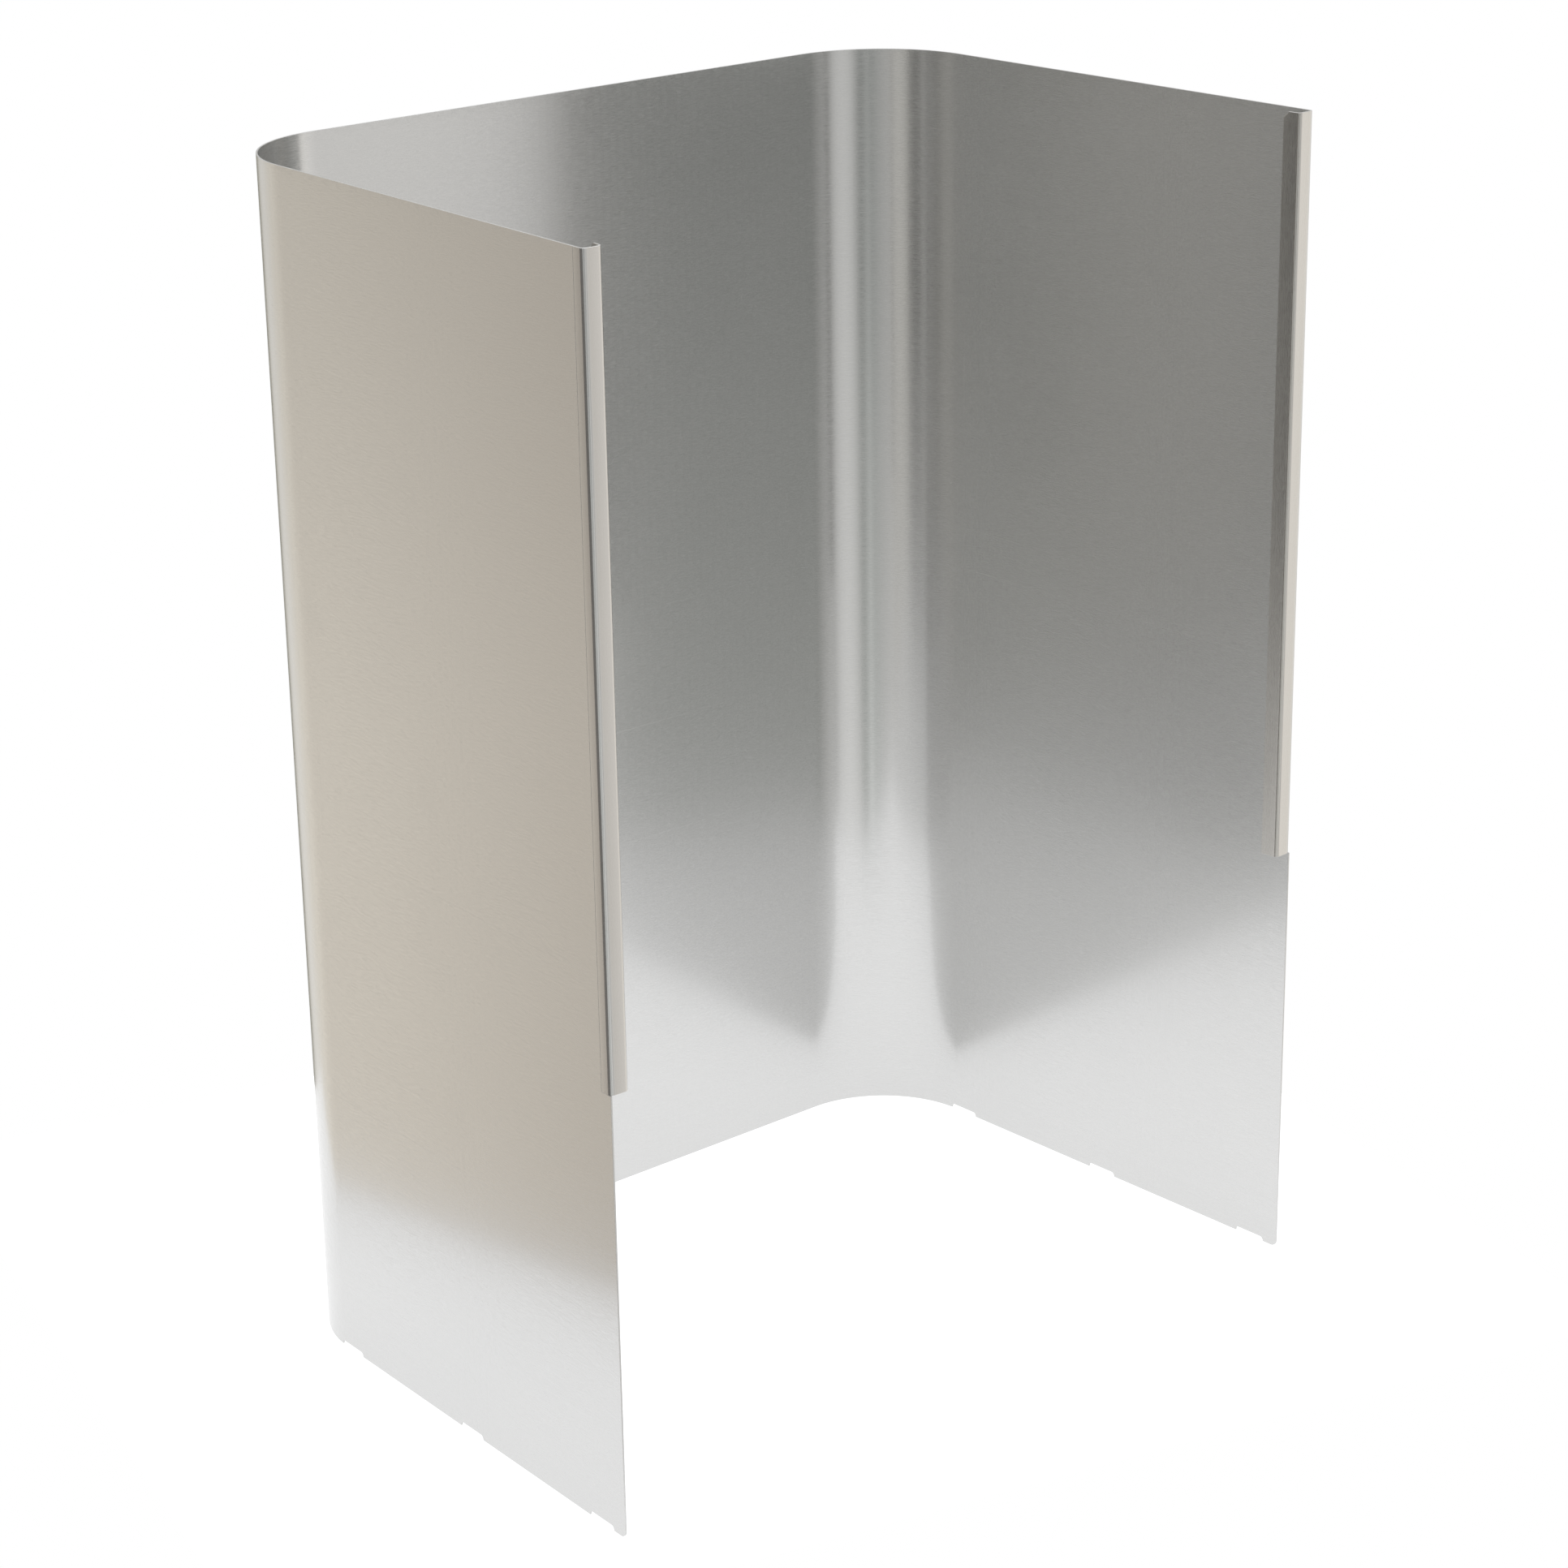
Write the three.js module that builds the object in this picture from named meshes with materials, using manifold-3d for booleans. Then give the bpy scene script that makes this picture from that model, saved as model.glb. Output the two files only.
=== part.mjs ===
// A wrap-around sneeze guard for a machine on a serving counter. One stainless sheet is rolled into a U
// that is open to the front, above and below. A folded edge profile stiffens each front edge over its upper
// part, and below the profiles the sheet ends in a plain cut edge. Three shallow notches in the lower edge
// of each side wall leave a narrow foot at the front corner.
// Millimetres, +Z up. The open front faces -Y and the back wall stands at +Y. The origin is the centre of
// the rectangle that the guard stands in, at the height of its lower edge.
import * as THREE from "three";
import { mergeVertices } from "three/addons/utils/BufferGeometryUtils.js";
import Module from "manifold-3d";

// Driving dimensions
const HEIGHT = 700;
const BACK_WIDTH = 490; // outside, across the two rear bends
const DEPTH = 345; // outside, from the back wall to the front of the edge profiles
const SHEET = 1; // thickness of the wrap and of the edge profiles
const REAR_BEND = 69; // outer radius of the two rear bends
const SPLAY = THREE.MathUtils.degToRad(2); // each side wall opens outwards by this much towards the front

const PROFILE_WIDTH = 12; // outside, across the front flange
const PROFILE_RETURN = 11; // from the front of the flange to the end of the return leg
const PROFILE_LEG = 8; // from the front of the flange to the seam with the side wall
const PROFILE_BEND = 2.5; // outer radius of the profile's two bends
const PROFILE_FOOT_Z = 260; // the profiles run from here up to the top edge
const RETURN_CHAMFER = 3.5; // off the upper rear corner of the return leg

const NOTCH_LENGTH = 22;
const NOTCH_DEPTH = 2.6;
const NOTCH_CORNER = 2.2;
const FIRST_NOTCH = 21.5; // from the front edge to the middle of the first notch
const NOTCH_PITCH = 125;
const NOTCHES = 3;
const FOOT_CORNER = 4; // radius of the lower front corner of each side wall

const SEAM = 0.3; // clear gap between the wrap and an edge profile
const PAST = 5; // how far a cutting body reaches past what it cuts
const REAR_BEND_STEPS = 28;
const SMALL_BEND_STEPS = 8;

const { sin, cos, PI } = Math;

// Each side wall has its own plane coordinates: u runs back along the wall from the front edge, and w runs
// inwards from the outer face. side is -1 on the left and +1 on the right.
const bendCentreX = BACK_WIDTH / 2 - REAR_BEND;
const bendCentreY = DEPTH / 2 - REAR_BEND;
const frontY = -DEPTH / 2 + (PROFILE_WIDTH - PROFILE_BEND) * sin(SPLAY) + PROFILE_BEND * (1 - cos(SPLAY));
const tangentY = bendCentreY + REAR_BEND * sin(SPLAY);
const wallLength = (tangentY - frontY) / cos(SPLAY);
const frontX = bendCentreX + REAR_BEND * cos(SPLAY) + wallLength * sin(SPLAY);

function onWall(side, u, w) {
  const x = frontX - u * sin(SPLAY) - w * cos(SPLAY);
  return new THREE.Vector2(side * x, frontY + u * cos(SPLAY) - w * sin(SPLAY));
}

// Points on an arc of radius r about (centreX, centreY), from one angle to another.
function arc(centreX, centreY, r, from, to, steps) {
  return Array.from({ length: steps + 1 }, (_, i) => {
    const angle = from + ((to - from) * i) / steps;
    return new THREE.Vector2(centreX + r * cos(angle), centreY + r * sin(angle));
  });
}

const wasm = await Module();
wasm.setup();

// A three.js geometry as a manifold-3d solid, and back again.
function toSolid(geometry) {
  const bare = geometry.clone();
  bare.deleteAttribute("normal");
  bare.deleteAttribute("uv");
  const merged = mergeVertices(bare, 1e-4);
  return new wasm.Manifold(
    new wasm.Mesh({
      numProp: 3,
      vertProperties: new Float32Array(merged.attributes.position.array),
      triVerts: new Uint32Array(merged.index.array),
    }),
  );
}

function toGeometry(solid) {
  const mesh = solid.getMesh();
  const geometry = new THREE.BufferGeometry();
  geometry.setAttribute("position", new THREE.BufferAttribute(new Float32Array(mesh.vertProperties), 3));
  geometry.setIndex(new THREE.BufferAttribute(new Uint32Array(mesh.triVerts), 1));
  geometry.computeVertexNormals();
  return geometry;
}

// A plan outline raised from bottom to top.
function raised(outline, bottom, top) {
  const geometry = new THREE.ExtrudeGeometry(new THREE.Shape(outline), {
    depth: top - bottom,
    bevelEnabled: false,
    steps: 1,
  });
  return geometry.translate(0, 0, bottom);
}

// An outline drawn on a side wall, across as u and up as z, pushed through the wall from w = from to w = to.
function throughWall(side, outline, from, to) {
  const geometry = new THREE.ExtrudeGeometry(new THREE.Shape(outline), {
    depth: to - from,
    bevelEnabled: false,
    steps: 1,
  });
  const origin = onWall(side, 0, from);
  const alongU = onWall(side, 1, from).sub(origin);
  const alongW = onWall(side, 0, from + 1).sub(origin);
  const place = new THREE.Matrix4().makeBasis(
    new THREE.Vector3(alongU.x, alongU.y, 0),
    new THREE.Vector3(0, 0, 1),
    new THREE.Vector3(alongW.x, alongW.y, 0),
  );
  place.setPosition(origin.x, origin.y, 0);
  geometry.applyMatrix4(place);
  if (place.determinant() < 0) {
    // A mirrored outline has its faces turned inside out, so each triangle is turned back.
    const position = geometry.attributes.position;
    for (let i = 0; i < position.count; i += 3) {
      const b = new THREE.Vector3().fromBufferAttribute(position, i + 1);
      const c = new THREE.Vector3().fromBufferAttribute(position, i + 2);
      position.setXYZ(i + 1, c.x, c.y, c.z);
      position.setXYZ(i + 2, b.x, b.y, b.z);
    }
  }
  return geometry;
}

// One face of the wrap in plan, from the left front edge round the back to the right front edge, at a
// distance w inside the outer face.
function wrapLine(w) {
  const r = REAR_BEND - w;
  return [
    onWall(-1, 0, w),
    ...arc(-bendCentreX, bendCentreY, r, PI - SPLAY, PI / 2, REAR_BEND_STEPS),
    ...arc(bendCentreX, bendCentreY, r, PI / 2, SPLAY, REAR_BEND_STEPS),
    onWall(1, 0, w),
  ];
}

// A notch open at the lower edge, with rounded upper corners, drawn across as u and up as z.
function notchOutline(middle) {
  const back = middle + NOTCH_LENGTH / 2;
  const front = middle - NOTCH_LENGTH / 2;
  const centreZ = NOTCH_DEPTH - NOTCH_CORNER;
  return [
    new THREE.Vector2(front, -PAST),
    new THREE.Vector2(back, -PAST),
    ...arc(back - NOTCH_CORNER, centreZ, NOTCH_CORNER, 0, PI / 2, SMALL_BEND_STEPS),
    ...arc(front + NOTCH_CORNER, centreZ, NOTCH_CORNER, PI / 2, PI, SMALL_BEND_STEPS),
  ];
}

// What is cut away to round the lower front corner of a side wall.
function footCornerOutline() {
  return [
    new THREE.Vector2(-PAST, FOOT_CORNER),
    new THREE.Vector2(-PAST, -PAST),
    new THREE.Vector2(FOOT_CORNER, -PAST),
    ...arc(FOOT_CORNER, FOOT_CORNER, FOOT_CORNER, 1.5 * PI, PI, SMALL_BEND_STEPS),
  ];
}

// The strip above the plain front edge that gives way to the edge profile.
function profileStrip(side) {
  const outline = [
    onWall(side, -PAST, -PAST),
    onWall(side, PROFILE_LEG + SEAM, -PAST),
    onWall(side, PROFILE_LEG + SEAM, PAST),
    onWall(side, -PAST, PAST),
  ];
  return raised(outline, PROFILE_FOOT_Z - SEAM, HEIGHT + PAST);
}

function wrapGeometry() {
  const outline = [...wrapLine(0), ...wrapLine(SHEET).reverse()];
  let wrap = toSolid(raised(outline, 0, HEIGHT));
  for (const side of [-1, 1]) {
    wrap = wrap.subtract(toSolid(profileStrip(side)));
    wrap = wrap.subtract(toSolid(throughWall(side, footCornerOutline(), -PAST, PAST)));
    for (let n = 0; n < NOTCHES; n++) {
      const middle = FIRST_NOTCH + n * NOTCH_PITCH;
      wrap = wrap.subtract(toSolid(throughWall(side, notchOutline(middle), -PAST, PAST)));
    }
  }
  return toGeometry(wrap);
}

// One face of the edge profile in plan, from the seam round the flange to the end of the return leg, at a
// distance inset inside the outer face.
function profileLine(side, inset) {
  const r = PROFILE_BEND - inset;
  const corner = (w, from, to) =>
    arc(PROFILE_BEND, w, r, from, to, SMALL_BEND_STEPS).map((p) => onWall(side, p.x, p.y));
  return [
    onWall(side, PROFILE_LEG, inset),
    ...corner(PROFILE_BEND, -PI / 2, -PI),
    ...corner(PROFILE_WIDTH - PROFILE_BEND, PI, PI / 2),
    onWall(side, PROFILE_RETURN, PROFILE_WIDTH - inset),
  ];
}

function profileGeometry(side) {
  const outline = [...profileLine(side, 0), ...profileLine(side, SHEET).reverse()];
  const chamfer = [
    new THREE.Vector2(PROFILE_RETURN - RETURN_CHAMFER, HEIGHT),
    new THREE.Vector2(PROFILE_RETURN, HEIGHT - RETURN_CHAMFER),
    new THREE.Vector2(PROFILE_RETURN + PAST, HEIGHT - RETURN_CHAMFER),
    new THREE.Vector2(PROFILE_RETURN + PAST, HEIGHT + PAST),
    new THREE.Vector2(PROFILE_RETURN - RETURN_CHAMFER, HEIGHT + PAST),
  ];
  const cutFrom = PROFILE_WIDTH / 2;
  const cutTo = PROFILE_WIDTH + PAST;
  const profile = toSolid(raised(outline, PROFILE_FOOT_Z, HEIGHT));
  return toGeometry(profile.subtract(toSolid(throughWall(side, chamfer, cutFrom, cutTo))));
}

const steel = (name) =>
  new THREE.MeshStandardMaterial({ name, color: 0xc6c3bd, roughness: 0.28, metalness: 1 });

function piece(name, geometry, material) {
  const mesh = new THREE.Mesh(geometry, material);
  mesh.name = name;
  return mesh;
}

const guard = new THREE.Group();
guard.add(piece("wrap_sheet", wrapGeometry(), steel("wrap sheet, brushed stainless")));
guard.add(piece("left_edge_profile", profileGeometry(-1), steel("edge profile, brushed stainless")));
guard.add(piece("right_edge_profile", profileGeometry(1), steel("edge profile, brushed stainless")));

export default guard;
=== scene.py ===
from math import cos, pi, radians, sin, tan

import bpy
from mathutils import Matrix, Vector


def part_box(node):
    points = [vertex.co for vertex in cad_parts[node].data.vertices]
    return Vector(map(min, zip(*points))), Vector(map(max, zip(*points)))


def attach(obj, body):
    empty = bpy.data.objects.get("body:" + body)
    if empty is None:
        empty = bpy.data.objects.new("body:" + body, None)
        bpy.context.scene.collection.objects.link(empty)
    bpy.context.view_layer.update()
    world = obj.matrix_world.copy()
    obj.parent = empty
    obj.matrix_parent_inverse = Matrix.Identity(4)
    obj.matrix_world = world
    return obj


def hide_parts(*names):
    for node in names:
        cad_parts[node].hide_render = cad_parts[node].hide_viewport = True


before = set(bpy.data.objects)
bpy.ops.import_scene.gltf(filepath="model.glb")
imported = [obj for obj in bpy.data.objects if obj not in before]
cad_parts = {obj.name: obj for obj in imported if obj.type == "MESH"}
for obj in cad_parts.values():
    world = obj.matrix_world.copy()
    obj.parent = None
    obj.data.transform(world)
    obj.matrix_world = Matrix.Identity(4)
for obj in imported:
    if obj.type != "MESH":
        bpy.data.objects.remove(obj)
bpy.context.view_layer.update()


# Camera: it stands to the left of the open front, above the top edge, and looks down into the guard
# with a long lens. It leans by about a degree.
CAMERA_PLACE = Vector((-1.3296, -1.5932, 1.0849))
CAMERA_TURN = radians(-40.04)
CAMERA_TILT = radians(-20.23)
CAMERA_LEAN = radians(-0.914)
CAMERA_LENS = 87.70
CAMERA_FILM = 36.0
CAMERA_REACH = 50

bpy.ops.object.camera_add()
camera = bpy.context.active_object
camera.name = "view_camera"
camera.data.sensor_width = CAMERA_FILM
camera.data.lens = CAMERA_LENS
camera.data.clip_end = CAMERA_REACH
camera.matrix_world = (
    Matrix.Translation(CAMERA_PLACE)
    @ Matrix.Rotation(CAMERA_TURN, 4, "Z")
    @ Matrix.Rotation(radians(90) + CAMERA_TILT, 4, "X")
    @ Matrix.Rotation(CAMERA_LEAN, 4, "Z")
)
bpy.context.scene.camera = camera


# Wrap: one sheet of bright-rolled stainless steel, 1 mm thick, bent round two large rear corners into a U
# whose side walls open outwards a little. Above a height of 260 mm its front edges give way to the folded
# front profiles, and three shallow notches are cut in the lower edge of each side wall.
wrap_low, wrap_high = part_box("wrap_sheet")
HEIGHT = wrap_high.z - wrap_low.z
SHEET = 0.001
REAR_BEND = 0.069
SPLAY = radians(2)
REAR_BEND_STEPS = 48
FLAT_BY_BEND = 0.004
PROFILE_LEG = 0.008
PROFILE_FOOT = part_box("left_edge_profile")[0].z
SEAM = 0.00003
FOOT_CORNER = 0.004
CORNER_STEPS = 8
NOTCH_LENGTH = 0.022
NOTCH_DEPTH = 0.0026
NOTCH_CORNER = 0.0022
FIRST_NOTCH = 0.0215
NOTCH_PITCH = 0.125
NOTCHES = 3
NOTCH_CUTTER_WIDTH = 0.012
BURR_ROUND = 0.00015
BURR_STEPS = 2
SHARP = radians(40)
SMOOTH_BELOW = radians(15)
PLACE_SLACK = 0.0002
MERGE_WITHIN = 0.000001

front_x = wrap_high.x
front_y = wrap_low.y + SHEET * sin(SPLAY)
bend_y = wrap_high.y - REAR_BEND
wall_length = (bend_y + REAR_BEND * sin(SPLAY) - front_y) / cos(SPLAY)
bend_x = front_x - wall_length * sin(SPLAY) - REAR_BEND * cos(SPLAY)

WRAP_STEEL = (0.628, 0.626, 0.618, 1)
WRAP_GRAIN = (3.0, 3.0, 900.0)
CUT_COLOUR = (0.60, 0.60, 0.59)
CUT_FINISH = 1


def add_node(tree, kind, **settings):
    node = tree.nodes.new(kind)
    for name, value in settings.items():
        setattr(node, name, value)
    return node


def math_node(tree, operation, first, second):
    """A Math node whose two inputs are numbers or other nodes' outputs."""
    node = add_node(tree, "ShaderNodeMath", operation=operation)
    for socket, value in zip(node.inputs, (first, second)):
        if isinstance(value, (int, float)):
            socket.default_value = value
        else:
            tree.links.new(value, socket)
    return node.outputs[0]


def noise_node(tree, vector, scale, detail, roughness):
    """Noise between 0 and 1, by its waves a metre, its finer detail and how strong that detail is."""
    node = add_node(tree, "ShaderNodeTexNoise", noise_dimensions="3D")
    tree.links.new(vector, node.inputs["Vector"])
    node.inputs["Scale"].default_value = scale
    node.inputs["Detail"].default_value = detail
    node.inputs["Roughness"].default_value = roughness
    return node.outputs["Fac"]


def map_node(tree, value, from_low, from_high, to_low, to_high):
    """Stretches a range of a value to another range, and holds it there."""
    node = add_node(tree, "ShaderNodeMapRange", clamp=True)
    tree.links.new(value, node.inputs["Value"])
    node.inputs["From Min"].default_value = from_low
    node.inputs["From Max"].default_value = from_high
    node.inputs["To Min"].default_value = to_low
    node.inputs["To Max"].default_value = to_high
    return node.outputs["Result"]


# The rolled skin of stainless sheet: hairlines along the grain, a few longer scratches, cloudy handling
# marks, and a surface that is never quite flat. Its finest roll marks alternate between nearly polished
# and matt, so that a reflection keeps a clear edge inside a wide haze. Close to the rim, where it is
# handled, the skin is rubbed duller in patches.
#
# A NOISE is its scale, detail and roughness. A SPREAD is the range of the noise that is stretched to the
# full effect. TONE changes the colour, HAZE changes the roughness, and DEPTH is a height in metres.
HAIRLINE_NOISE = (1.0, 5.0, 0.6)
HAIRLINE_SPREAD = (0.25, 0.75)
HAIRLINE_TONE = 0.008
HAIRLINE_HAZE = 0.015
HAIRLINE_DEPTH = 0.0000003
ROLL_MARK_NOISE = (60.0, 0.0, 0.5)
ROLL_MARK_SPREAD = (0.36, 0.64)
SMOOTH_ROLL_MARK = 0.15
ROUGH_ROLL_MARK = 0.32
SCRATCH_NOISE = (0.45, 2.0, 0.5)
SCRATCH_SPREAD = (0.70, 0.76)
SCRATCH_TONE = 0.03
SCRATCH_HAZE = 0.05
CLOUD_NOISE = (8.0, 1.5, 0.5)
CLOUD_SPREAD = (0.3, 0.7)
CLOUD_TONE = 0.01
CLOUD_HAZE = 0.05
CLOUD_DEPTH = 0.000025
HANDLING_NOISE = (26.0, 5.0, 0.6)
HANDLING_SPREAD = (0.56, 0.74)
HANDLING_HAZE = 0.015
RIM_NOISE = (260.0, 3.0, 0.6)
RIM_SPREAD = (0.45, 0.65)
RIM_WIDTH = 0.006
RIM_HAZE = 0.05
RIM_TONE = 0.03


def vary_node(tree, noise, spread, amount):
    """A factor round 1 that goes up and down with the noise by an amount."""
    return map_node(tree, noise, *spread, 1 - amount, 1 + amount)


def rolled_skin_group():
    group = bpy.data.node_groups.new("rolled_skin", "ShaderNodeTree")
    sockets = (
        ("Place", "INPUT", "NodeSocketVector"),
        ("Along Grain", "INPUT", "NodeSocketVector"),
        ("Steel", "INPUT", "NodeSocketColor"),
        ("Color", "OUTPUT", "NodeSocketColor"),
        ("Roughness", "OUTPUT", "NodeSocketFloat"),
        ("Normal", "OUTPUT", "NodeSocketVector"),
    )
    for name, side, kind in sockets:
        group.interface.new_socket(name=name, in_out=side, socket_type=kind)
    given = add_node(group, "NodeGroupInput")
    result = add_node(group, "NodeGroupOutput")
    place = given.outputs["Place"]
    grain = given.outputs["Along Grain"]

    hairline = noise_node(group, grain, *HAIRLINE_NOISE)
    roll_mark = noise_node(group, grain, *ROLL_MARK_NOISE)
    cloud = noise_node(group, place, *CLOUD_NOISE)
    scratch = map_node(group, noise_node(group, grain, *SCRATCH_NOISE), *SCRATCH_SPREAD, 0, 1)
    handling = map_node(group, noise_node(group, place, *HANDLING_NOISE), *HANDLING_SPREAD, 0, 1)
    parts = add_node(group, "ShaderNodeSeparateXYZ")
    group.links.new(place, parts.inputs[0])
    rim = map_node(group, parts.outputs["Z"], wrap_high.z - RIM_WIDTH, wrap_high.z, 0, 1)
    patches = map_node(group, noise_node(group, place, *RIM_NOISE), *RIM_SPREAD, 0, 1)
    worn = math_node(group, "MULTIPLY", rim, patches)

    hairline_tone = vary_node(group, hairline, HAIRLINE_SPREAD, HAIRLINE_TONE)
    cloud_tone = vary_node(group, cloud, CLOUD_SPREAD, CLOUD_TONE)
    tone = math_node(group, "MULTIPLY", hairline_tone, cloud_tone)
    tone = math_node(group, "ADD", tone, math_node(group, "MULTIPLY", scratch, SCRATCH_TONE))
    tone = math_node(group, "SUBTRACT", tone, math_node(group, "MULTIPLY", worn, RIM_TONE))
    colour = add_node(group, "ShaderNodeVectorMath", operation="SCALE")
    group.links.new(given.outputs["Steel"], colour.inputs[0])
    group.links.new(tone, colour.inputs["Scale"])
    group.links.new(colour.outputs[0], result.inputs["Color"])

    haze = map_node(group, roll_mark, *ROLL_MARK_SPREAD, SMOOTH_ROLL_MARK, ROUGH_ROLL_MARK)
    hairline_haze = vary_node(group, hairline, HAIRLINE_SPREAD, HAIRLINE_HAZE)
    haze = math_node(group, "MULTIPLY", haze, hairline_haze)
    haze = math_node(group, "MULTIPLY", haze, vary_node(group, cloud, CLOUD_SPREAD, CLOUD_HAZE))
    for mask, amount in ((scratch, SCRATCH_HAZE), (handling, HANDLING_HAZE), (worn, RIM_HAZE)):
        haze = math_node(group, "ADD", haze, math_node(group, "MULTIPLY", mask, amount))
    group.links.new(haze, result.inputs["Roughness"])

    fine = math_node(group, "MULTIPLY", hairline, HAIRLINE_DEPTH)
    broad = math_node(group, "MULTIPLY", cloud, CLOUD_DEPTH)
    bump = add_node(group, "ShaderNodeBump")
    bump.inputs["Strength"].default_value = 1.0
    bump.inputs["Distance"].default_value = 1.0
    group.links.new(math_node(group, "ADD", fine, broad), bump.inputs["Height"])
    group.links.new(bump.outputs["Normal"], result.inputs["Normal"])
    return group


rolled_skin = rolled_skin_group()


def rolled_steel(name, colour, grain_stretch):
    """Rolled stainless whose grain is longest along the axis with the smallest stretch."""
    material = bpy.data.materials.new(name)
    material.use_nodes = True
    tree = material.node_tree
    shader = tree.nodes["Principled BSDF"]
    shader.inputs["Metallic"].default_value = 1.0
    place = add_node(tree, "ShaderNodeTexCoord")
    grain = add_node(tree, "ShaderNodeMapping")
    grain.inputs["Scale"].default_value = grain_stretch
    tree.links.new(place.outputs["Object"], grain.inputs["Vector"])
    skin = add_node(tree, "ShaderNodeGroup", node_tree=rolled_skin, name="rolled_skin")
    skin.inputs["Steel"].default_value = colour
    tree.links.new(place.outputs["Object"], skin.inputs["Place"])
    tree.links.new(grain.outputs["Vector"], skin.inputs["Along Grain"])
    tree.links.new(skin.outputs["Color"], shader.inputs["Base Color"])
    tree.links.new(skin.outputs["Roughness"], shader.inputs["Roughness"])
    tree.links.new(skin.outputs["Normal"], shader.inputs["Normal"])
    return material


CUT_MARK_NOISE = (2500.0, 2.0, 0.5)
CUT_MARK_SPREAD = (0.3, 0.7)
CUT_MARK_TONE = (0.85, 1.1)
CUT_MARK_HAZE = (0.34, 0.46)
CUT_MARK_DEPTH = 0.00003


def cut_steel(name):
    """The raw edge that cutting leaves: speckled with fine marks, and duller than the skin."""
    material = bpy.data.materials.new(name)
    material.use_nodes = True
    tree = material.node_tree
    shader = tree.nodes["Principled BSDF"]
    shader.inputs["Metallic"].default_value = 1.0
    place = add_node(tree, "ShaderNodeTexCoord")
    marks = noise_node(tree, place.outputs["Object"], *CUT_MARK_NOISE)
    tone = add_node(tree, "ShaderNodeVectorMath", operation="SCALE")
    tone.inputs[0].default_value = CUT_COLOUR
    tree.links.new(map_node(tree, marks, *CUT_MARK_SPREAD, *CUT_MARK_TONE), tone.inputs["Scale"])
    tree.links.new(tone.outputs[0], shader.inputs["Base Color"])
    haze = map_node(tree, marks, *CUT_MARK_SPREAD, *CUT_MARK_HAZE)
    tree.links.new(haze, shader.inputs["Roughness"])
    bump = add_node(tree, "ShaderNodeBump")
    bump.inputs["Strength"].default_value = 1.0
    bump.inputs["Distance"].default_value = CUT_MARK_DEPTH
    tree.links.new(marks, bump.inputs["Height"])
    tree.links.new(bump.outputs["Normal"], shader.inputs["Normal"])
    return material


wrap_steel = rolled_steel("wrap_steel", WRAP_STEEL, WRAP_GRAIN)
cut_edge = cut_steel("laser_cut_edge")


def choose(part):
    """Leaves one object selected and active."""
    bpy.ops.object.select_all(action="DESELECT")
    part.select_set(True)
    bpy.context.view_layer.objects.active = part


def put_away(part):
    """Takes away a cutting body that has done its work."""
    choose(part)
    bpy.ops.object.delete()


def pick(part, chosen, kind="FACE"):
    """In edit mode, leaves selected just the faces, edges or vertices that chosen is true for."""
    bpy.ops.mesh.select_mode(type=kind)
    bpy.ops.mesh.select_all(action="DESELECT")
    bpy.ops.object.mode_set(mode="OBJECT")
    mesh = part.data
    items = {"FACE": mesh.polygons, "EDGE": mesh.edges, "VERT": mesh.vertices}[kind]
    for item in items:
        item.select = bool(chosen(item))
    bpy.ops.object.mode_set(mode="EDIT")


def line_up(name, foot, top):
    """A plane set on edge and flattened to an upright line from foot to top: a sheet's first edge."""
    middle = (foot + top) / 2
    bpy.ops.object.select_all(action="DESELECT")
    bpy.ops.mesh.primitive_plane_add(
        size=top.z - foot.z, location=middle, rotation=(0, radians(90), 0)
    )
    part = bpy.context.active_object
    part.name = name
    bpy.ops.object.transform_apply(location=True, rotation=True, scale=True)
    bpy.ops.object.mode_set(mode="EDIT")
    bpy.ops.mesh.select_all(action="SELECT")
    bpy.ops.transform.resize(value=(1, 0, 1), center_override=middle)
    bpy.ops.mesh.remove_doubles(threshold=MERGE_WITHIN)
    bpy.ops.mesh.select_all(action="SELECT")
    return part


def run_on(step):
    """Extends the sheet from its last edge by one flat stretch."""
    bpy.ops.mesh.extrude_region_move(TRANSFORM_OT_translate={"value": step})


def along_wall(side, distance):
    """The step that goes back along a side wall by a distance, on the left (-1) or the right (1)."""
    return Vector((-side * distance * sin(SPLAY), distance * cos(SPLAY), 0))


def merge_sheet():
    """Merges the corners that the bends share, and turns all faces the same way."""
    bpy.ops.mesh.select_all(action="SELECT")
    bpy.ops.mesh.remove_doubles(threshold=MERGE_WITHIN)
    bpy.ops.mesh.normals_make_consistent(inside=False)


def round_edges(part, near_seam):
    """Takes the burr off all sharp edges, apart from those that are butted together in a seam."""
    bpy.ops.object.mode_set(mode="EDIT")
    bpy.ops.mesh.select_mode(type="EDGE")
    bpy.ops.mesh.select_all(action="DESELECT")
    bpy.ops.mesh.edges_select_sharp(sharpness=SHARP)
    bpy.ops.object.mode_set(mode="OBJECT")
    mesh = part.data
    for edge in mesh.edges:
        middle = (mesh.vertices[edge.vertices[0]].co + mesh.vertices[edge.vertices[1]].co) / 2
        if edge.select and near_seam(middle):
            edge.select = False
    bpy.ops.object.mode_set(mode="EDIT")
    bpy.ops.mesh.bevel(offset=BURR_ROUND, segments=BURR_STEPS, clamp_overlap=True)
    bpy.ops.object.mode_set(mode="OBJECT")


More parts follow.
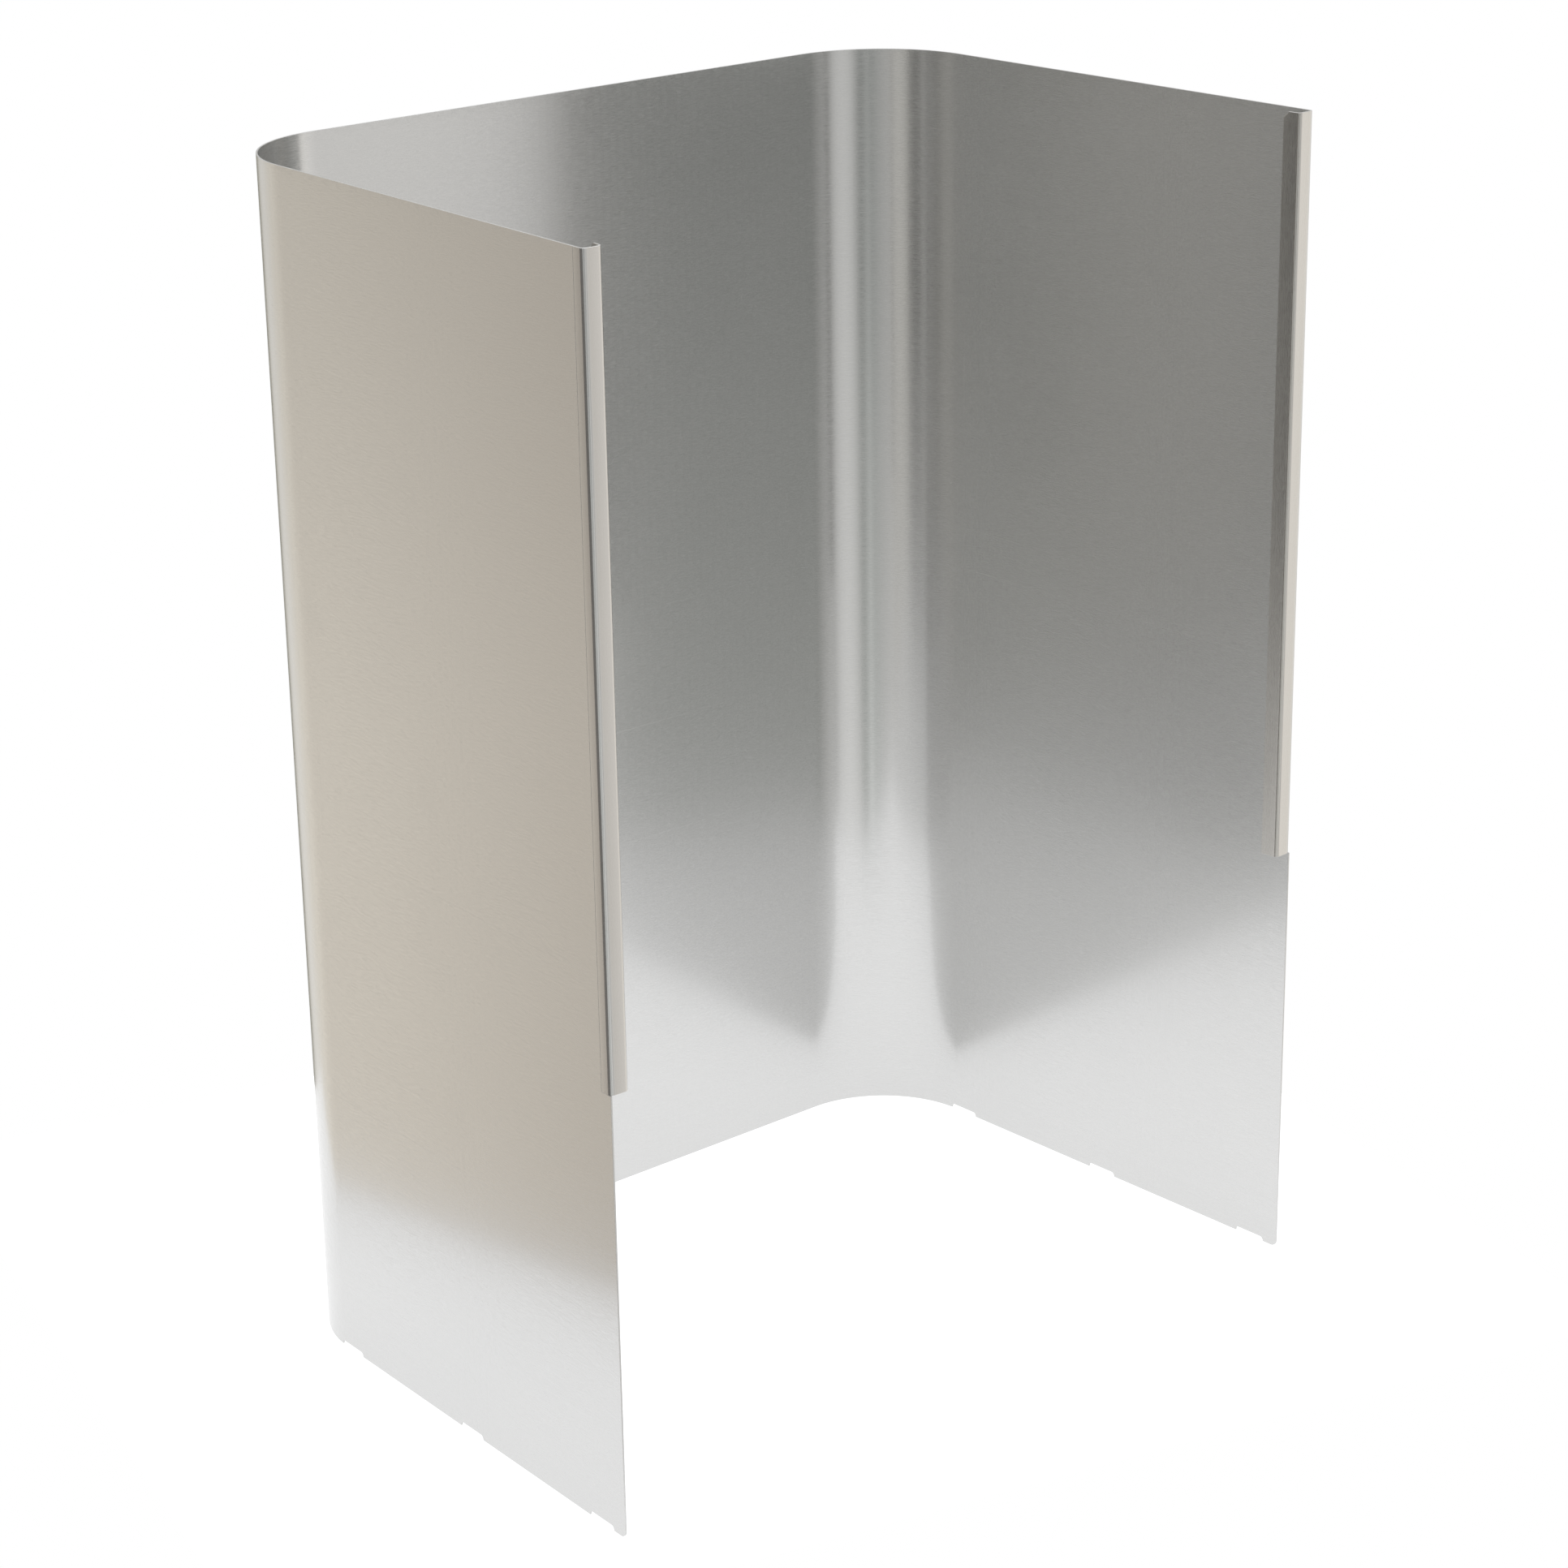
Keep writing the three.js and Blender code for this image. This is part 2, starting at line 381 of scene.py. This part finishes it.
bend_turn = pi / 2 - SPLAY
flat_back = 2 * bend_x
foot = Vector((-front_x, front_y, wrap_low.z))
wrap = line_up("rolled_wrap", foot, foot + Vector((0, 0, HEIGHT)))
run_on(along_wall(-1, PROFILE_LEG + SEAM))
run_on(along_wall(-1, wall_length - PROFILE_LEG - SEAM - FLAT_BY_BEND))
run_on(along_wall(-1, FLAT_BY_BEND))
bpy.ops.mesh.spin(
    steps=REAR_BEND_STEPS, angle=bend_turn, center=(-bend_x, bend_y, 0), axis=(0, 0, 1)
)
run_on((FLAT_BY_BEND, 0, 0))
run_on((flat_back - 2 * FLAT_BY_BEND, 0, 0))
run_on((FLAT_BY_BEND, 0, 0))
bpy.ops.mesh.spin(
    steps=REAR_BEND_STEPS, angle=bend_turn, center=(bend_x, bend_y, 0), axis=(0, 0, 1)
)
run_on(-along_wall(1, FLAT_BY_BEND))
run_on(-along_wall(1, wall_length - PROFILE_LEG - SEAM - FLAT_BY_BEND))
run_on(-along_wall(1, PROFILE_LEG + SEAM))
merge_sheet()

# The front strip above the foot of the profiles is cut away, and the lower front corners are rounded.
strip_back = front_y + (PROFILE_LEG + SEAM) * cos(SPLAY) + PLACE_SLACK


def in_strip(face):
    return face.center.y < strip_back


pick(wrap, in_strip)
bpy.ops.mesh.bisect(plane_co=(0, 0, PROFILE_FOOT - SEAM), plane_no=(0, 0, 1))
pick(wrap, lambda face: in_strip(face) and face.center.z > PROFILE_FOOT)
bpy.ops.mesh.delete(type="FACE")


def is_foot_corner(vertex):
    return vertex.co.z < wrap_low.z + PLACE_SLACK and abs(vertex.co.y - front_y) < PLACE_SLACK


pick(wrap, is_foot_corner, "VERT")
bpy.ops.mesh.bevel(offset=FOOT_CORNER, segments=CORNER_STEPS, affect="VERTICES")
bpy.ops.object.mode_set(mode="OBJECT")

for finish in (wrap_steel, cut_edge):
    wrap.data.materials.append(finish)


def finish_with(part, kind, **settings):
    """Adds a modifier and applies it."""
    choose(part)
    modifier = part.modifiers.new(kind.lower(), kind)
    for name, value in settings.items():
        setattr(modifier, name, value)
    bpy.ops.object.modifier_apply(modifier=modifier.name)


def thicken(part):
    """Gives the sheet its thickness, on the inner side, with the cut finish on its new edges."""
    finish_with(
        part,
        "SOLIDIFY",
        thickness=SHEET,
        offset=-1,
        use_even_offset=True,
        material_offset_rim=CUT_FINISH,
    )


thicken(wrap)

# The notch cutter is a bar that is pushed through the wall, with its two upper corners rounded and its
# lower half below the wall's foot. Each notch is cut by its own copy.
bpy.ops.object.select_all(action="DESELECT")
bpy.ops.mesh.primitive_cube_add(size=1)
cutter = bpy.context.active_object
cutter.name = "notch_cutter"
cutter.scale = (NOTCH_CUTTER_WIDTH, NOTCH_LENGTH, 2 * NOTCH_DEPTH)
bpy.ops.object.transform_apply(location=True, rotation=True, scale=True)
for finish in (wrap_steel, cut_edge):
    cutter.data.materials.append(finish)
for face in cutter.data.polygons:
    face.material_index = CUT_FINISH
bpy.ops.object.mode_set(mode="EDIT")


def is_upper_corner(edge):
    ends = [cutter.data.vertices[i].co for i in edge.vertices]
    return all(end.z > 0 for end in ends) and abs(ends[0].y - ends[1].y) < PLACE_SLACK


pick(cutter, is_upper_corner, "EDGE")
bpy.ops.mesh.bevel(offset=NOTCH_CORNER, segments=CORNER_STEPS)
bpy.ops.object.mode_set(mode="OBJECT")

cutters = []
for side in (-1, 1):
    for number in range(NOTCHES):
        copy = cutter.copy()
        copy.data = cutter.data.copy()
        bpy.context.collection.objects.link(copy)
        from_front = FIRST_NOTCH + number * NOTCH_PITCH
        copy.location = Vector((side * front_x, front_y, wrap_low.z)) + along_wall(side, from_front)
        copy.rotation_euler.z = side * SPLAY
        cutters.append(copy)
put_away(cutter)
all_notches = cutters[0]
choose(all_notches)
for copy in cutters:
    copy.select_set(True)
bpy.ops.object.join()
finish_with(wrap, "BOOLEAN", operation="DIFFERENCE", object=all_notches, solver="EXACT")
put_away(all_notches)


def wrap_seam(middle):
    return middle.z > PROFILE_FOOT + PLACE_SLACK and abs(middle.y - strip_back) < 2 * PLACE_SLACK


choose(wrap)
round_edges(wrap, wrap_seam)
bpy.ops.object.shade_smooth_by_angle(angle=SMOOTH_BELOW)
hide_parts("wrap_sheet")
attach(wrap, "root")


# Front profiles: a strip of the same sheet, folded twice into a channel, butt-welded to each side wall and
# ground flush. The flange faces the front, and the return leg runs back inside the wall, its fold sprung
# open by a few degrees. The right profile is the left one's mirror image.
PROFILE_WIDTH = 0.012
PROFILE_RETURN = 0.011
PROFILE_BEND = 0.0025
PROFILE_BEND_STEPS = 10
PROFILE_SPRING = radians(5)
RETURN_CHAMFER = 0.0035
FACES_INWARDS = 0.9

# Painted shade: the folded part of the profile gets a warmer, darker colour than the wall, though both are
# the same sheet.
SHADED_PROFILE_STEEL = (0.600, 0.580, 0.550, 1)
PROFILE_GRAIN = (900.0, 900.0, 3.0)
PROFILE_SHADE_FROM = 0.0012
PROFILE_SHADE_FULL = 0.0035

shaded_profile_steel = rolled_steel("shaded_profile_steel", SHADED_PROFILE_STEEL, PROFILE_GRAIN)


def mix_node(tree, share, first, second):
    """The first colour where share is 0 and the second where it is 1. A colour may be an output."""
    node = add_node(tree, "ShaderNodeMix", data_type="RGBA")
    tree.links.new(share, node.inputs["Factor"])
    # The node has sockets for each kind of value, and these are the ones for colours.
    for socket, value in zip(node.inputs[6:8], (first, second)):
        if isinstance(value, tuple):
            socket.default_value = value
        else:
            tree.links.new(value, socket)
    return node.outputs[2]


def paint_shade_on_fold(material):
    """The leg by the seam keeps the wall's colour, and the folded part is painted a little warmer and
    darker, as painted shade on the fold.
    """
    tree = material.node_tree
    place = add_node(tree, "ShaderNodeTexCoord")
    parts = add_node(tree, "ShaderNodeSeparateXYZ")
    tree.links.new(place.outputs["Object"], parts.inputs[0])
    outward = math_node(tree, "ABSOLUTE", parts.outputs["X"], 0.0)
    shade_full = front_x - PROFILE_SHADE_FULL
    shade_from = front_x - PROFILE_SHADE_FROM
    # Painted shade: the colour turns warmer and darker across the first fold, from 1.2 mm to 3.5 mm inside
    # the wall's outer face.
    fold_shade = map_node(tree, outward, shade_full, shade_from, 1, 0)
    shaded_tint = mix_node(tree, fold_shade, WRAP_STEEL, SHADED_PROFILE_STEEL)
    tree.links.new(shaded_tint, tree.nodes["rolled_skin"].inputs["Steel"])


paint_shade_on_fold(shaded_profile_steel)
foot = Vector((0, PROFILE_LEG, PROFILE_FOOT))
left_profile = line_up("left_front_profile", foot, foot + Vector((0, 0, wrap_high.z - PROFILE_FOOT)))
run_on((0, PROFILE_BEND - PROFILE_LEG, 0))
bpy.ops.mesh.spin(
    steps=PROFILE_BEND_STEPS, angle=pi / 2, center=(PROFILE_BEND, PROFILE_BEND, 0), axis=(0, 0, -1)
)
run_on((PROFILE_WIDTH - 2 * PROFILE_BEND, 0, 0))
bpy.ops.mesh.spin(
    steps=PROFILE_BEND_STEPS,
    angle=pi / 2 - PROFILE_SPRING,
    center=(PROFILE_WIDTH - PROFILE_BEND, PROFILE_BEND, 0),
    axis=(0, 0, -1),
)
return_rise = PROFILE_RETURN - PROFILE_BEND * (1 - sin(PROFILE_SPRING))
run_on((return_rise * tan(PROFILE_SPRING), return_rise, 0))
merge_sheet()


def on_return_leg(face):
    return face.normal.x > FACES_INWARDS and face.center.x > PROFILE_WIDTH - PLACE_SLACK


pick(left_profile, on_return_leg)
bpy.ops.mesh.bisect(
    plane_co=(PROFILE_WIDTH, PROFILE_RETURN, wrap_high.z - RETURN_CHAMFER),
    plane_no=(0, 1, 1),
    clear_outer=True,
)
bpy.ops.object.mode_set(mode="OBJECT")
for finish in (shaded_profile_steel, cut_edge):
    left_profile.data.materials.append(finish)

right_profile = left_profile.copy()
right_profile.data = left_profile.data.copy()
right_profile.name = "right_front_profile"
bpy.context.collection.objects.link(right_profile)
right_profile.scale.x = -1


def profile_seam(middle):
    return middle.y > PROFILE_LEG - PLACE_SLACK and abs(middle.x) < SHEET + PLACE_SLACK


for side, part, node in (
    (-1, left_profile, "left_edge_profile"),
    (1, right_profile, "right_edge_profile"),
):
    choose(part)
    bpy.ops.object.transform_apply(location=True, rotation=True, scale=True)
    bpy.ops.object.mode_set(mode="EDIT")
    bpy.ops.mesh.select_all(action="SELECT")
    bpy.ops.mesh.normals_make_consistent(inside=False)
    bpy.ops.object.mode_set(mode="OBJECT")
    thicken(part)
    round_edges(part, profile_seam)
    part.rotation_euler.z = side * SPLAY
    part.location = (side * front_x, front_y, 0)
    bpy.ops.object.transform_apply(location=True, rotation=True, scale=True)
    bpy.ops.object.shade_smooth_by_angle(angle=SMOOTH_BELOW)
    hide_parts(node)
    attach(part, "root")


# Floor: a plain white table top that the guard stands on, turned a little against it. Most of its
# brightness is a glow of its own, so that it is nearly as white as the background and any shadow is faint.
TABLE_LEFT = 0.414
TABLE_RIGHT = 0.414
TABLE_FRONT = 0.28
TABLE_BACK = 0.414
TABLE_TURN = radians(-14.3)
TABLE_CORNER = 0.03
TABLE_CORNER_STEPS = 6
TABLE_WHITE = (0.86, 0.86, 0.86, 1)
TABLE_HAZE = 0.9
TABLE_GLOSS = 0.1
TABLE_GLOW = 0.85
TABLE_LIGHT = 1.23
TABLE_LIGHT_COLOUR = (0.985, 0.990, 1.0, 1)

bpy.ops.object.select_all(action="DESELECT")
bpy.ops.mesh.primitive_plane_add(size=1)
table = bpy.context.active_object
table.name = "pale_table"
table.scale = (TABLE_LEFT + TABLE_RIGHT, TABLE_FRONT + TABLE_BACK, 1)
table.location = ((TABLE_RIGHT - TABLE_LEFT) / 2, (TABLE_BACK - TABLE_FRONT) / 2, wrap_low.z)
bpy.ops.object.transform_apply(location=True, rotation=True, scale=True)
table.rotation_euler.z = TABLE_TURN
bpy.ops.object.transform_apply(location=True, rotation=True, scale=True)
bpy.ops.object.mode_set(mode="EDIT")
bpy.ops.mesh.select_mode(type="VERT")
bpy.ops.mesh.select_all(action="SELECT")
bpy.ops.mesh.bevel(offset=TABLE_CORNER, segments=TABLE_CORNER_STEPS, affect="VERTICES")
bpy.ops.object.mode_set(mode="OBJECT")

table_paint = bpy.data.materials.new("table_paint")
table_paint.use_nodes = True
tree = table_paint.node_tree
paint = tree.nodes["Principled BSDF"]
paint.inputs["Base Color"].default_value = TABLE_WHITE
paint.inputs["Roughness"].default_value = TABLE_HAZE
paint.inputs["Specular IOR Level"].default_value = TABLE_GLOSS
glow = add_node(tree, "ShaderNodeEmission")
glow.inputs["Color"].default_value = TABLE_LIGHT_COLOUR
glow.inputs["Strength"].default_value = TABLE_LIGHT
seen = add_node(tree, "ShaderNodeMixShader")
seen.inputs["Fac"].default_value = TABLE_GLOW
tree.links.new(paint.outputs[0], seen.inputs[1])
tree.links.new(glow.outputs[0], seen.inputs[2])
tree.links.new(seen.outputs[0], tree.nodes["Material Output"].inputs["Surface"])
table.data.materials.append(table_paint)


# Lights: one large soft box straight above the guard, and a studio whose brightness changes with the
# direction. The camera itself sees a plain white background.
KEY_SIZE = 1.2
KEY_HEIGHT = 2.6
KEY_POWER = 43.0
bpy.ops.object.light_add(type="AREA", location=(0, 0, KEY_HEIGHT))
key = bpy.context.active_object
key.name = "soft_box_above"
key.data.shape = "SQUARE"
key.data.size = KEY_SIZE
key.data.energy = KEY_POWER

# Brightness of the studio round the guard: degrees from straight in front, positive to the right, the
# colour there, and the share by which it grows in directions well below the horizon.
STUDIO_ROUND = (
    (-180, (0.85, 0.83, 0.79), 0.20),
    (-160, (0.85, 0.80, 0.71), 0.20),
    (-152, (0.92, 0.86, 0.76), 0.24),
    (-147, (0.51, 0.46, 0.40), 0.35),
    (-138, (0.34, 0.31, 0.28), 0.30),
    (-125, (0.14, 0.13, 0.12), 0.20),
    (-95, (0.20, 0.19, 0.18), 0.20),
    (-68, (0.12, 0.12, 0.11), 0.20),
    (-58, (0.62, 0.62, 0.61), 0.30),
    (-46, (0.46, 0.46, 0.45), 0.55),
    (-40, (0.37, 0.38, 0.37), 0.80),
    (-36, (0.21, 0.22, 0.21), 1.60),
    (-32.5, (0.53, 0.54, 0.53), 1.15),
    (-28, (0.22, 0.23, 0.22), 1.40),
    (-24.5, (0.14, 0.15, 0.14), 1.60),
    (-20.5, (0.40, 0.40, 0.39), 0.90),
    (-16, (0.68, 0.68, 0.67), 0.35),
    (-8, (0.74, 0.74, 0.73), 0.35),
    (2, (0.72, 0.72, 0.71), 0.25),
    (8, (0.48, 0.48, 0.47), 0.10),
    (14, (0.60, 0.60, 0.59), 0.0),
    (30, (0.81, 0.80, 0.78), 0.0),
    (37, (0.91, 0.90, 0.89), 0.0),
    (47, (1.14, 1.12, 1.08), 0.0),
    (56, (1.03, 1.01, 0.97), 0.0),
    (65, (1.14, 1.12, 1.07), 0.0),
    (90, (0.90, 0.89, 0.87), 0.0),
    (125, (0.50, 0.49, 0.45), 0.0),
    (145, (0.22, 0.21, 0.17), 0.0),
    (162, (0.25, 0.24, 0.19), 0.0),
    (172, (0.80, 0.78, 0.73), 0.10),
    (180, (0.85, 0.83, 0.79), 0.20),
)
# The four limits below are heights on a direction of length 1.
GROWTH_FROM = -0.20
GROWTH_FULL = -0.34
CEILING = (0.95, 0.96, 0.98, 1)
CEILING_FROM = 0.05
CEILING_FULL = 0.6
DIFFUSE_FILL = (1.2, 1.2, 1.2, 1)
BACKDROP = (1.0, 1.0, 1.0, 1)
FULL_CIRCLE = 360

world = bpy.data.worlds.new("soft_studio")
bpy.context.scene.world = world
world.use_nodes = True
tree = world.node_tree
tree.nodes.clear()
direction = add_node(tree, "ShaderNodeTexCoord")
parts = add_node(tree, "ShaderNodeSeparateXYZ")
tree.links.new(direction.outputs["Generated"], parts.inputs[0])
to_the_front = math_node(tree, "MULTIPLY", parts.outputs["Y"], -1.0)
turn = math_node(tree, "ARCTAN2", parts.outputs["X"], to_the_front)
ramp = add_node(tree, "ShaderNodeValToRGB")
ramp.color_ramp.interpolation = "EASE"
tree.links.new(map_node(tree, turn, -pi, pi, 0, 1), ramp.inputs["Fac"])
stops = ramp.color_ramp.elements
for degrees, colour, growth in STUDIO_ROUND:
    place = degrees / FULL_CIRCLE + 0.5
    if place == 0:
        stop = stops[0]
    elif place == 1:
        stop = stops[-1]
    else:
        stop = stops.new(place)
    stop.color = (*colour, growth)
below = map_node(tree, parts.outputs["Z"], GROWTH_FULL, GROWTH_FROM, 1, 0)
growth = math_node(tree, "MULTIPLY", below, ramp.outputs["Alpha"])
walls = add_node(tree, "ShaderNodeVectorMath", operation="SCALE")
tree.links.new(ramp.outputs["Color"], walls.inputs[0])
tree.links.new(math_node(tree, "ADD", growth, 1.0), walls.inputs["Scale"])
above = map_node(tree, parts.outputs["Z"], CEILING_FROM, CEILING_FULL, 0, 1)
ray = add_node(tree, "ShaderNodeLightPath")
studio = mix_node(tree, above, walls.outputs[0], CEILING)
studio = mix_node(tree, ray.outputs["Is Diffuse Ray"], studio, DIFFUSE_FILL)
studio = mix_node(tree, ray.outputs["Is Camera Ray"], studio, BACKDROP)
light = add_node(tree, "ShaderNodeBackground")
tree.links.new(studio, light.inputs["Color"])
out = add_node(tree, "ShaderNodeOutputWorld")
tree.links.new(light.outputs[0], out.inputs["Surface"])
bpy.context.scene.view_settings.view_transform = "Standard"
